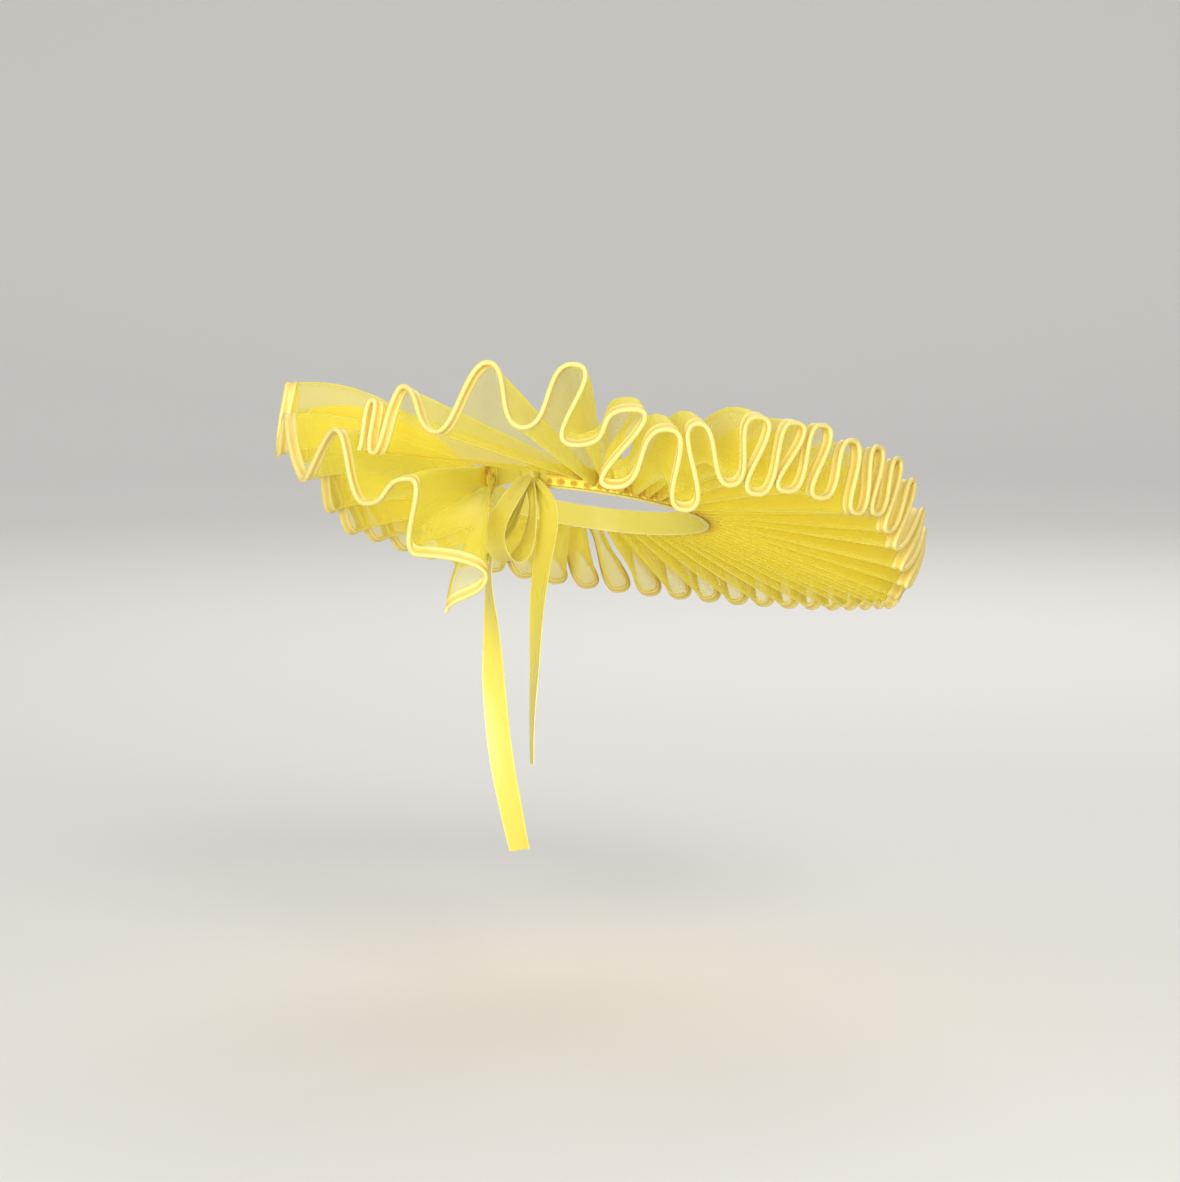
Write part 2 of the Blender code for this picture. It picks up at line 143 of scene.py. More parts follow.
# The front's folds about one azimuth each: azimuth, mean height of the rim, height of its waves
# above and below that, how far a trough lies behind its crest, and a Fold's tuck, draw and fall.
FRONT_LEVELS = (
    (112, -26, 17, 10, 6, 0, 8), (122, -38, 20, 8, 10, 0, 8),
    (140, -49, 22, 2, 8, 0, 8), (160, -56, 23, 1, 3, 0, 8),
    (190, -57, 23, 1, 0, 0, 8), (225, -42, 23, 1, 0, 0, 8),
    (255, -12, 23, 1, 0, 0, 8), (266, 2, 21, 1, 2, 2, 6),
    (274, 33, 19, 1, 9, 9, 6), (281, 43, 17, 1, 16, 16, 8),
    (290, 46, 17, 1, 21, 21, 8), (300, 47, 18, 1, 23, 23, 8),
)

# Creases: soft ridges (or, below 0, troughs) that run out from the neck. Each row is where it
# lies, in turns of the rim from the strip's right end; its half width at the rim and its height,
# in millimetres; and its start and end, in shares of the way from the neck to the binding.
CREASES = (
    (3.6, 9, 1.3, 0.10, 0.75), (5.4, 11, -1.6, 0.25, 0.95), (6.5, 8, 1.1, 0.05, 0.55),
    (7.6, 12, 1.8, 0.30, 1.00), (9.5, 9, -1.2, 0.10, 0.70), (10.4, 10, 1.4, 0.20, 0.80),
    (12.7, 8, -1.0, 0.15, 0.60), (15.5, 11, 1.5, 0.30, 0.95), (18.3, 7, -0.9, 0.10, 0.50),
    (21.6, 9, 1.1, 0.20, 0.85), (25.4, 8, 0.9, 0.10, 0.60), (28.5, 10, -1.2, 0.30, 0.90),
    (33.4, 7, 0.8, 0.15, 0.55),
)
CREASE_SPAN = 34              # turns after which the same creases come again, shifted
CREASE_SHIFT = 1.3
RIM_TURN = 55                 # millimetres of rim from one turn to the next, about

DROOP = 18 * MM               # how strongly the left end turns down: its bend lies close to the rim
DROOP_POWER = 8
DROOP_TURNS = 4.0             # turns before that end where the droop begins
DROOP_WHOLE = 1.5             # turns before it where the droop is whole
BOW = 45 * MM                 # how strongly the cloth over the left shoulder arches before that
BOW_POWER = 3
BOW_SHARES = ((262, 277, 292, 307, 315, 325), (0, 0.5, 1, 1, 0.5, 0))   # by degrees at the neck
SWELL = 36 * MM               # how strongly the cloth behind the right shoulder swells upwards
SWELL_POWER = 5
SWELL_SHARES = ((31, 39, 60, 82), (0, 1, 0.9, 0))      # by degrees at the neck

# Ribbons. Each row is a point of the middle line, in millimetres to the right, behind and up; how
# the width lies there, as its turn and its dip in degrees; and the share of the width that is open.
RIBBONS = {
    "bow_loop_right": (
        (1.5, 85.2, 28.5, 8, 0, 0.6), (0.3, 94.5, 21, 8, 0, 0.85),
        (-3.5, 105.9, 7.5, 8, 0, 1), (-4.9, 112.5, -4.5, 8, 0, 1),
        (-2.6, 113.5, -16, 8, 0, 1), (1.1, 107.9, -23, 8, 0, 1),
        (4.2, 99.2, -21, 12, 0, 1), (6.8, 93.2, -12, 26, 0, 1),
        (8.1, 90.0, 1.5, 36, 0, 0.9), (7.0, 87.2, 14, 32, 0, 0.7),
        (3.2, 83.2, 24, 14, 0, 0.5),
    ),
    "bow_loop_left": (
        (-3.4, 81.4, 21.6, -6, 37, 0.3), (-9.5, 84.0, 11, -6, 37, 0.6),
        (-17, 87.5, 1, -6, 37, 1), (-25, 90.5, -9, -6, 37, 1),
        (-32, 91.5, -18.5, -6, 37, 1), (-36, 87.5, -24, -6, 37, 1),
        (-32.5, 81.5, -19.5, -6, 37, 1), (-26, 79.0, -11, -6, 37, 1),
        (-19, 77.5, -1, -6, 37, 1), (-11, 77.0, 10, -6, 37, 0.6),
        (-4.0, 78.6, 22.4, -6, 37, 0.4),
    ),
    "tail_short": (
        (3.6, 80.2, 24.8, 7, 0, 0.45), (11.5, 82.7, 18.5, 7, 0, 0.65),
        (17.2, 84.4, 8, 9, 0, 0.9), (18.2, 87.0, -6, 12, 0, 1),
        (15.2, 89.6, -28, 16, 0, 1), (13.6, 92.7, -55, 26, 0, 1),
        (13.8, 95.9, -90, 38, 0, 1), (14.0, 99.3, -125, 48, 0, 1),
        (14.9, 101.1, -152, 51, 0, 1),
    ),
    "tail_long": (
        (-4.6, 83.0, 22, 8, 0, 0.3), (-13.6, 86.4, 12, 30, 0, 0.5),
        (-16.0, 93.2, -1, 50, 0, 0.9), (-14.8, 99.5, -16, 56, 0, 1),
        (-15.0, 103.5, -40, 44, 0, 1), (-11.1, 106.8, -72, 18, 0, 1),
        (-7.8, 109.6, -105, -5, 0, 1), (-2.3, 111.0, -145, -12, 0, 1),
        (4.8, 110.4, -180, -5, 0, 1), (10.6, 109.3, -206, 5, 0, 1),
    ),
}
KNOT_AZIMUTH = 0.5
KNOT_REACH = 80.1 * MM
KNOT_HEIGHT = 28.5 * MM
TIE_TO = 356.2
TIE_PINCH = 0.6

# Binding: its section, from the inner edge outwards and across the cloth, in millimetres.
BINDING_SECTION = (
    (0.0, 0.0), (0.15, 0.6), (0.7, 0.95), (1.4, 0.95), (2.0, 0.65), (3.2, 0.5), (4.3, 0.55),
    (5.0, 0.85), (5.7, 1.3), (6.5, 1.5), (7.3, 1.3), (7.8, 0.8), (8.0, 0.0),
)

# Fine forms of the organza: their heights, how far apart they lie and over what length they fade.
BILLOW = 1.0 * MM
BILLOW_PITCH = 45 * MM
PUCKER = 0.22 * MM            # at the binding's seam
PUCKER_PITCH = 4 * MM
PUCKER_FADE = 9 * MM
GATHER = 0.35 * MM            # at the neck
GATHER_PITCH = 3.1 * MM
GATHER_FADE = 6 * MM
GATHERED = 11 * MM            # how far from the band the organza is gathered tight
FLAT_END = 6 * MM             # length at each end of the strip over which they all fade
NECK_GAP = 0.2 * MM           # from the neck line to the organza
IN_BINDING = 1.5 * MM         # how far the organza reaches into the binding

# Hems and seams: width and thickness.
HEM = (2.2 * MM, 1.3 * MM)
SEAM = (1.4 * MM, 1.0 * MM)
OVAL_SIDES = 10

# The organza's raw edge on the band: a fine wave of furrows, and a hollow under each pleat.
RAW_EDGE_FOOT = 1.9 * MM      # above the band's lower edge
RAW_EDGE_HEIGHT = 12.2 * MM
FURROW = 0.3 * MM
FURROW_PITCH = 1.7 * MM
HOLLOW_WIDE = 3.1 * MM
HOLLOW_TALL = 2.4 * MM

RIBBON_WAVE = 1.7 * MM        # height of its folds where it is drawn together
RIBBON_CUP = 0.5 * MM
KNOT_SIZE = (11 * MM, 8 * MM, 12 * MM)

PIPING = 2.3 * MM             # thickness of the band's rolled edges, and how far in they lie
PIPING_IN = 0.7 * MM

STITCH_IN = 1.9 * MM          # from the binding's inner edge to its stitches
STITCH_PITCH = 1.35           # stitch lengths from one stitch to the next
STITCH_RISE = 0.6 * MM        # from the middle of the binding to its stitches, on either face
PLEAT_STITCH = 3.0 * MM
# A stitch: places along it, in shares of its length, and its thickness there.
STITCH_FORM = ((-0.5, 0.15), (-0.38, 0.8), (0.0, 1.0), (0.38, 0.8), (0.5, 0.15))

# Lamps: name, spot, target, how wide, watts and tint.
LAMPS = (
    ("key", (-2.1, 2.0, 1.7), (0, 0, 0), 1.4, 60, (1.0, 0.98, 0.95)),
    ("fill", (-0.5, 2.9, 0.35), (0, 0, 0), 1.8, 58, (1.0, 0.99, 0.98)),
    ("back", (0.6, -2.2, 1.9), (0, 0, 0), 1.8, 24, (1.0, 0.99, 0.97)),
    ("wall", (0.9, -1.7, 2.6), (2.6, -4.6, 0), 2.2, 25, (1.0, 1.0, 1.0)),
)

CAMERA_AZIMUTH = 210.0        # from the front, rising round the wearer's left
CAMERA_ELEVATION = 5.0
CAMERA_DISTANCE = 2.3
CAMERA_LENS = 107.2
CAMERA_FROM = (0.0011, 0.0006, 0.0)     # the camera's angle and distance are taken from here
CAMERA_AIM = (0.0011, 0.0006, -0.0525)
FLOOR_HEIGHT = -0.32
FLOOR_FLAT = 3.2              # reach up to which the floor is level
FLOOR_REACH = 7.0
FLOOR_RISE = 2.6              # of its outermost edge


# ---------------- settings

def size(name, description, default, smallest, largest):
    """A setting for a length, with its default and limits in millimetres."""
    return FloatProperty(
        name=name, description=description, default=default * MM, min=smallest * MM,
        max=largest * MM, subtype="DISTANCE", unit="LENGTH",
    )


def number(name, description, default, smallest):
    return IntProperty(
        name=name, description=description, default=default, min=smallest, max=40
    )


def colour(name, description, default):
    return FloatVectorProperty(
        name=name, description=description, default=linear(default), size=3, min=0, max=1,
        subtype="COLOR",
    )


def linear(hex_colour):
    """sRGB hex to linear red, green and blue."""
    srgb = np.array([int(hex_colour[i : i + 2], 16) for i in (0, 2, 4)]) / 255
    return tuple(np.where(srgb <= 0.04045, srgb / 12.92, ((srgb + 0.055) / 1.055) ** 2.4))


class RuffSizes(bpy.types.PropertyGroup):
    organza_thickness: size("Organza", "Thickness of the sheer cloth", 0.3, 0.1, 1)
    binding_width: size("Binding", "Width of the folded binding", 8, 5, 12)
    ribbon_width: size("Ribbon", "Width of the tying ribbon", 16, 10, 20)
    ribbon_thickness: size("Ribbon cloth", "Thickness of the ribbon", 0.4, 0.2, 1)
    thread: size("Thread", "Thickness of the sewing thread", 0.35, 0.2, 0.8)
    stitch: size("Stitch", "Length of a stitch", 2.6, 1.5, 5)
    columns: number("Columns", "Columns of faces from one turn of a fold to the next", 22, 6)
    rows: number("Rows", "Rows of faces from the neck to the binding", 14, 4)


class RuffColours(bpy.types.PropertyGroup):
    organza: colour("Organza", "Colour of the sheer cloth's threads", "FCF462")
    # The gather colour is partly the deeper gold of many layers together, partly painted shade
    # among them.
    gather: colour("Gathers", "Colour of the organza where it is gathered tight", "E6C23C")
    # The furrow colour is painted shade in the furrows and hollows of the gathered raw edge.
    furrow_shade: colour("Furrows", "Colour between the tight gathers", "B48C28")
    binding: colour("Binding", "Colour of the satin binding", "F0DF82")
    # The groove colour is painted shade in the binding's groove.
    groove: colour("Groove", "Colour in the binding's groove", "E4C558")
    ribbon: colour("Ribbon", "Colour of the satin ribbon", "EBDD5C")
    selvage: colour("Selvage", "Colour of the ribbon's woven edges", "FBF49A")
    thread: colour("Thread", "Colour of the sewing thread", "F1DF86")
    floor: colour("Floor", "Colour of the floor", "E0DED9")


# ---------------- curves

def unit(vectors):
    return vectors / np.linalg.norm(vectors, axis=-1, keepdims=True)


def lengths(points):
    """Distance along a line of points, from its first point to each."""
    return np.concatenate([[0], np.cumsum(np.linalg.norm(np.diff(points, axis=0), axis=1))])


def circle(count):
    """Angles of evenly spaced points round a circle."""
    return np.linspace(0, 2 * np.pi, count, endpoint=False)


def point(azimuth, reach, height):
    turned = np.radians(azimuth)
    return np.stack([-reach * np.sin(turned), reach * np.cos(turned), height + 0 * reach], -1)


def level_outward(points):
    """Level directions from the axis through the neck to these points."""
    return unit(points * [1, 1, 0])


def neck_plane(azimuth):
    """Height of the band's lower edge."""
    return NECK_SLOPE * NECK_REACH * np.cos(np.radians(azimuth))


def smooth_line(at, xs, ys):
    """Cubic through the points (xs, ys), with the slope at each from its two neighbours."""
    slopes = np.gradient(ys, xs)
    i = np.clip(np.searchsorted(xs, at, side="right") - 1, 0, len(xs) - 2)
    step = xs[i + 1] - xs[i]
    t = (at - xs[i]) / step
    return (
        ys[i] * (1 + 2 * t) * (1 - t) ** 2
        + slopes[i] * step * t * (1 - t) ** 2
        + ys[i + 1] * t**2 * (3 - 2 * t)
        - slopes[i + 1] * step * t**2 * (1 - t)
    )


def smooth_step(low, high, value):
    t = np.clip((value - low) / (high - low), 0, 1)
    return t * t * (3 - 2 * t)


def drift(at, pitch, seed):
    """A smooth random line between -1 and 1 that turns about once a pitch."""
    knots = np.arange(np.floor(at.min() / pitch) - 1, np.ceil(at.max() / pitch) + 2)
    values = np.random.default_rng(seed).uniform(-1, 1, len(knots))
    return smooth_line(at, knots * pitch, values)


def front_folds():
    """Even folds round the front, their heights read from a smooth line through the levels."""
    first, last = RIGHT_FOLDS[-1].crest, LEFT_FOLDS[0].crest
    crests = np.linspace(first, last, FRONT_FOLDS + 2)[1:-1]
    azimuths, *columns = np.array(FRONT_LEVELS).T
    middle, half_wave, lag, tuck, draw, fall = (smooth_line(crests, azimuths, c) for c in columns)
    rows = zip(crests, middle + half_wave, crests - lag, middle - half_wave, fall, tuck, draw)
    return tuple(Fold(*row[:5], FRONT_RISE, *row[5:]) for row in rows)


def meander(turns, reach, columns):
    """A smooth line through the turns, as its azimuths, heights and tucks.

    It is drawn on the unrolled cylinder of this reach, as complex numbers with the height as the
    imaginary part: between two turns, a cubic curve on their handles. Its columns are spaced
    evenly by length and by how much the line bends, half and half.
    """
    t = np.linspace(0, 1, FINE_STEPS + 1)
    at = np.linspace(0, 1, columns, endpoint=False)
    degree = np.radians(reach)
    spots = [turn.azimuth * degree + 1j * turn.height * MM for turn in turns]
    ways = [degree * np.exp(1j * np.radians(turn.heading)) for turn in turns]
    found = []
    for i, (a, b) in enumerate(zip(turns, turns[1:])):
        start, end = spots[i : i + 2]
        leave = start + a.swing_out * ways[i]
        arrive = end - b.swing_in * ways[i + 1]
        line = (
            start * (1 - t) ** 3 + 3 * leave * t * (1 - t) ** 2
            + 3 * arrive * t**2 * (1 - t) + end * t**3
        )
        step = np.diff(line)
        length = np.concatenate([[0], np.cumsum(np.abs(step))])
        bend = np.concatenate([[0, 0], np.cumsum(np.abs(np.angle(step[1:] / step[:-1])))])
        measure = length / length[-1] + bend / bend[-1]
        place = np.interp(at * measure[-1], measure, t)
        tuck = a.tuck + (b.tuck - a.tuck) * at**2 * (3 - 2 * at)
        found.append((np.interp(place, t, line), tuck * MM))
    found.append(([spots[-1]], [turns[-1].tuck * MM]))
    line, tuck = np.concatenate(found, axis=1)
    return line.real / degree, line.imag, tuck.real


def rim_turns():
    """Every crest and trough of the rim, from the strip's right end to its left end."""
    turns = []
    rise = 0.0
    for fold in RIGHT_FOLDS + front_folds() + LEFT_FOLDS:
        turns.append(Turn(fold.crest, fold.crest_height, 0, rise, fold.fall, fold.draw))
        turns.append(Turn(fold.trough, fold.trough_height, 0, fold.fall, fold.rise, fold.tuck))
        rise = fold.rise
    return turns + list(END_TURNS)


def neck_turns(count):
    """Even turns along the band, up to its head and down to its foot by turns."""
    azimuths = np.linspace(PLEAT_FROM, PLEAT_TO, count)
    swing = NECK_SWING * (azimuths[1] - azimuths[0])
    heights = [(PLEAT_TOP, PLEAT_FOOT)[i % 2] for i in range(count)]
    heights[-2] = LAST_PLEAT_TOP
    heights[1 : 2 * len(FIRST_PLEAT_FEET) : 2] = FIRST_PLEAT_FEET
    return [Turn(*place, 0, swing, swing) for place in zip(azimuths, heights)]


class Strip:
    """The pleated strip, column by column: its edges, directions and lengths.

    A point of it is neck(u)(1 - v) + rim(u)v, where neck and rim are the two smooth lines and v
    runs from 0 at the band to 1 at the outer edge of the binding. The rim's reach is the one at
    which the strip is equally wide at every column.
    """

    def __init__(self, columns):
        turns = rim_turns()
        azimuth, height, tuck = meander(turns, RIM_REACH, columns)
        neck_azimuth, neck_rise, _ = meander(neck_turns(len(turns)), NECK_REACH, columns)
        neck_reach = NECK_REACH + BAND_WALL / 2 + SEAM_GAP
        neck_height = neck_rise + neck_plane(neck_azimuth)
        turned = np.radians(azimuth - neck_azimuth)
        reach = neck_reach * np.cos(turned) + np.sqrt(
            STRIP_WIDTH**2 - (height - neck_height) ** 2 - (neck_reach * np.sin(turned)) ** 2
        )
        self.neck = point(neck_azimuth, neck_reach, neck_height)
        self.rim = point(azimuth, reach - tuck, height)
        self.neck_course = np.gradient(self.neck, axis=0)
        self.rim_course = np.gradient(self.rim, axis=0)
        self.outward = unit(self.rim - self.neck)
        self.width = np.linalg.norm(self.rim - self.neck, axis=1)
        self.length = lengths(self.rim)
        self.turn = np.arange(len(self.rim)) / columns
        end = self.turn[-1]
        droop = smooth_step(end - DROOP_TURNS, end - DROOP_WHOLE, self.turn)[:, None]
        bow = np.interp(neck_azimuth, *BOW_SHARES)[:, None]
        swell = np.interp(neck_azimuth, *SWELL_SHARES)[:, None]
        up = unit([0, 0, 1] - self.outward * self.outward[:, 2:])
        self.lifts = (
            (up * bow * BOW, BOW_POWER),
            (up * droop * DROOP, DROOP_POWER),
            (up * swell * SWELL, SWELL_POWER),
        )
        last = len(turns) - 1
        starts = [round(last * share) * columns for share in LENGTH_STARTS]
        starts[0] = round(CUT_SHORT * columns)
        ends = starts[1:] + [last * columns]
        self.runs = {n: slice(a, b + 1) for n, a, b in zip(LENGTH_NAMES, starts, ends)}

    def at(self, run, share):
        """Points, normals and outward directions of the run's columns at these shares.

        Over the left shoulder the cloth arches, behind the right one it swells, and at the left
        end it turns down close to the rim: each lift raises a point at share v by v - v^power
        times the lift.
        """
        share = share[..., None]
        neck, rim = self.neck[run, None], self.rim[run, None]
        course = self.neck_course[run, None] * (1 - share) + self.rim_course[run, None] * share
        points = neck * (1 - share) + rim * share
        outward = self.outward[run, None] * STRIP_WIDTH
        for lift, power in self.lifts:
            points = points + lift[run, None] * (share - share**power)
            outward = outward + lift[run, None] * (1 - power * share ** (power - 1))
        outward = unit(outward)
        return points, unit(np.cross(unit(course), outward)), outward


# ---------------- meshes

def cloth_map(along, across):
    """UV coordinates in metres: how far along the cloth and how far across it."""
    return np.stack(np.broadcast_arrays(along, across), -1)


def build(name, points, faces, uv, make, slot=None, *nodes):
    """An object of these points and faces, with a UV map, smooth but for its edges.

    A piece of the collar has a slot: it rides on the collar's one body and stands for the nodes.
    """
    mesh = bpy.data.meshes.new(name)
    mesh.from_pydata(points.reshape(-1, 3).tolist(), [], [face.tolist() for face in faces])
    corners = np.empty(len(mesh.loops), np.int64)
    mesh.loops.foreach_get("vertex_index", corners)
    layer = mesh.uv_layers.new(name="cloth")
    layer.data.foreach_set("uv", uv.reshape(-1, 2)[corners].astype(np.float32).ravel())
    mesh.materials.append(finish(make))
    mesh.shade_smooth()
    mesh.set_sharp_from_angle(angle=np.radians(50))
    mesh.update()
    piece = bpy.data.objects.new(name, mesh)
    bpy.context.scene.collection.objects.link(piece)
    if slot:
        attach(piece, "root")
    if nodes:
        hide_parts(*nodes)
    return piece


def shell(name, grid, normals, thickness, uv, *finish_and_place):
    """A closed thin shell: the grid moved half the thickness out and in, its edges closed."""
    count = grid.shape[0] * grid.shape[1]
    top = np.arange(count).reshape(grid.shape[:2])
    low = top + count

    def between(a, b):
        return np.stack([a[:-1], a[1:], b[1:], b[:-1]], -1).reshape(-1, 4)

    sides = (low[:, 0], top[:, 0]), (top[:, -1], low[:, -1]), (top[0], low[0]), (low[-1], top[-1])
    faces = [between(top[:, :-1], top[:, 1:]), between(low.T[:, :-1], low.T[:, 1:])]
    faces += [between(*side) for side in sides]
    half = normals * thickness / 2
    points = np.concatenate([grid + half, grid - half])
    build(name, points, np.concatenate(faces), np.concatenate([uv, uv]), *finish_and_place)


def ring_faces(index):
    """Four-sided faces between rows of point numbers, where each row is a closed ring."""
    beside = np.roll(index, -1, axis=1)
    return np.stack([index[:-1], beside[:-1], beside[1:], index[1:]], -1).reshape(-1, 4)


def swept(name, rings, uv, *finish_and_place):
    """A closed skin through rings of points, with a cap at each end."""
    count, sides = rings.shape[:2]
    index = np.arange(count * sides).reshape(count, sides)
    build(name, rings, [*ring_faces(index), index[0, ::-1], index[-1]], uv, *finish_and_place)


def oval(line, aside, out, wide, thick):
    """Rings about a line: half the width to each side and half the thickness out and in."""
    turned = circle(OVAL_SIDES)[:, None]
    return (
        line[:, None]
        + np.cos(turned) * aside[:, None] * wide / 2
        + np.sin(turned) * out[:, None] * thick / 2
    )


def stitches(name, places, along, out, length, thickness, slot):
    """Short raised stitches, joined in one mesh: each a four-sided bead that tapers to its ends."""
    along, out = unit(along), unit(out)
    aside = np.cross(along, out)
    turned = np.radians((45, 135, 225, 315))[:, None]
    sideways = np.cos(turned) * aside[:, None] + np.sin(turned) * out[:, None]
    points = np.concatenate([
        (places + along * place * length)[:, None] + sideways * swell * thickness / 2
        for place, swell in STITCH_FORM
    ], axis=1)
    index = np.arange(points.shape[1]).reshape(len(STITCH_FORM), -1)
    one = np.concatenate([ring_faces(index), [index[0, ::-1], index[-1]]])
    shift = np.arange(len(places))[:, None, None] * points.shape[1]
    uv = np.zeros((*points.shape[:2], 2))
    build(name, points, (one + shift).reshape(-1, 4), uv, sewing_thread, slot)


# ---------------- materials

def finish(make):
    """The material that this function makes, made the first time it is asked for."""
    material = bpy.data.materials.get(make.__name__)
    if not material:
        material = bpy.data.materials.new(make.__name__)
        material.use_nodes = True
        tree, scene = material.node_tree, bpy.context.scene
        tree.nodes.clear()
        shader = make(tree, scene.ruff_colours, scene.ruff_sizes)
        add(tree, "ShaderNodeOutputMaterial", {"Surface": shader})
    return material


def add(tree, kind, inputs=None, **settings):
    """Adds a node. Its inputs are numbers or colours, or (node, output) for a link."""
    node = tree.nodes.new(kind)
    for field, value in settings.items():
        setattr(node, field, value)
    for socket, value in (inputs or {}).items():
        if isinstance(value, tuple) and isinstance(value[0], bpy.types.Node):
            tree.links.new(value[0].outputs[value[1]], node.inputs[socket])
        else:
            node.inputs[socket].default_value = value
    return node


def calculate(tree, operation, *terms):
    return add(tree, "ShaderNodeMath", dict(enumerate(terms)), operation=operation), "Value"


def ramp(tree, value, low, high, at_low=0.0, at_high=1.0, kind="SMOOTHSTEP"):
    """Runs from at_low, where the value is low, to at_high, where it is high."""
    return add(tree, "ShaderNodeMapRange", {
        "Value": value, "From Min": low, "From Max": high, "To Min": at_low, "To Max": at_high,
    }, interpolation_type=kind), "Result"


def mixed(tree, factor, first, second):
    """A colour between two, which are its inputs 6 and 7 and leave by its output 2."""
    first, second = (each if isinstance(each, tuple) else (*each, 1.0) for each in (first, second))
    return add(tree, "ShaderNodeMix", {"Factor": factor, 6: first, 7: second}, data_type="RGBA"), 2


def cloth_place(tree):
    """The place on the cloth, in metres, and how far across the cloth it is."""
    place = add(tree, "ShaderNodeUVMap", uv_map="cloth"), "UV"
    return place, (add(tree, "ShaderNodeSeparateXYZ", {"Vector": place}), "Y")


def stretched(tree, place, along, across):
    return add(
        tree, "ShaderNodeMapping", {"Vector": place, "Scale": (along, across, 1)}
    ), "Vector"


def noise(tree, place, scale, detail):
    return add(
        tree, "ShaderNodeTexNoise", {"Vector": place, "Scale": scale, "Detail": detail}
    ), "Fac"


def bump(tree, height, depth, strength):
    return add(
        tree, "ShaderNodeBump", {"Strength": strength, "Distance": depth, "Height": height}
    ), "Normal"


def threads(tree, place, spacing, depth, strength):
    """Bump of a plain weave: two sets of bands, one along the cloth and one across it."""
    bands = [
        (add(
            tree, "ShaderNodeTexWave", {"Vector": place, "Scale": np.pi / spacing / 10},
            bands_direction=direction,
        ), "Fac")
        for direction in ("X", "Y")
    ]
    return bump(tree, calculate(tree, "ADD", *bands), depth, strength)


def surface(tree, body, inputs):
    return add(tree, "ShaderNodeBsdfPrincipled", {"Base Color": body, **inputs}), "BSDF"


def thin_cloth(tree, body, normal, glow, inputs):
    """Cloth that returns light from its face, and lets some of it, the glow, shine through."""
    front = surface(tree, body, {"Normal": normal, **inputs})
    through = add(tree, "ShaderNodeBsdfTranslucent", {"Color": body, "Normal": normal}), "BSDF"
    return add(tree, "ShaderNodeMixShader", {0: glow, 1: front, 2: through}), "Shader"


def sheer_organza(tree, colours, sizes):
    """Organza: a plain weave of fine twisted silk-like filament, sheer and crisp.

    To the eye it is a coloured haze over what lies behind it, deeper where it is seen askew or
    where layers lie over each other, with a watered figure where two weaves beat.
    """
    place, from_band = cloth_place(tree)
    # Streaks along the threads that run out from the neck: 1.5 mm wide and 60 mm long.
    streaks = noise(tree, stretched(tree, place, 660, 16), 1.0, 1.0)
    # The watered figure: uneven rings about 4 mm apart.
    figure = add(tree, "ShaderNodeTexWave", {
        "Vector": stretched(tree, place, 70, 70), "Scale": 1.1, "Distortion": 14.0,
        "Detail": 0.0, "Detail Scale": 0.35,
    }, bands_direction="Y"), "Fac"
    # Share of the light that a face lets by, seen square on. A layer of cloth has two faces.
    clear = calculate(tree, "MULTIPLY_ADD", streaks, -0.04, 0.865)
    clear = calculate(tree, "MULTIPLY_ADD", figure, -0.012, clear)
    # Gathered tight against the band the cloth lies in many layers, so it hides more.
    gathered = ramp(tree, from_band, GATHERED, 0.25 * GATHERED)
    clear = calculate(tree, "MULTIPLY_ADD", gathered, -0.42, clear)
    # Seen askew, light has a longer way through: the share is raised to 1 / cosine.
    askew = add(tree, "ShaderNodeLayerWeight", {"Blend": 0.5}), "Facing"
    cosine = calculate(tree, "MAXIMUM", calculate(tree, "SUBTRACT", 1.0, askew), 0.06)
    clear = calculate(tree, "POWER", clear, calculate(tree, "DIVIDE", 1.0, cosine))
    covered = calculate(tree, "SUBTRACT", 1.0, clear)
    # Threads are 0.25 mm apart in the cloth and drawn 0.5 mm apart, so that they show.
    normal = threads(tree, place, 0.5 * MM, 0.05 * MM, 0.12)
    # Where gathered, the colour deepens towards the gather colour: partly the deeper gold of many
    # layers, partly painted shade among them.
    body = mixed(tree, calculate(tree, "MULTIPLY", gathered, 0.6), colours.organza, colours.gather)
    cloth = thin_cloth(tree, body, normal, 0.5, {
        "Roughness": 0.48, "IOR": 1.5, "Sheen Weight": 0.12, "Sheen Roughness": 0.4,
    })
    bare = add(tree, "ShaderNodeBsdfTransparent", {"Color": (1.0, 0.985, 0.95, 1.0)}), "BSDF"
    return add(tree, "ShaderNodeMixShader", {0: covered, 1: bare, 2: cloth}), "Shader"


def gathered_organza(tree, colours, sizes):
    """Organza crushed in many layers: no longer sheer, and gold, with painted shade in its furrows
    and hollows and painted light on the crests between them.
    """
    _, from_band = cloth_place(tree)
    # Furrows lie 0.9 mm from the band or nearer, and the crests between the hollows 2.4 mm off.
    # Nearer the band the colour darkens to painted shade, and at the crests it pales to the
    # organza's own colour as painted light.
    deep = ramp(tree, from_band, 1.5 * MM, 0.9 * MM, kind="LINEAR")
    crest = ramp(tree, from_band, 1.6 * MM, 2.4 * MM, 0.0, 0.8, kind="LINEAR")
    body = mixed(tree, crest, mixed(tree, deep, colours.gather, colours.furrow_shade), colours.organza)
    return surface(tree, body, {"Roughness": 0.6, "IOR": 1.5, "Sheen Weight": 0.1})


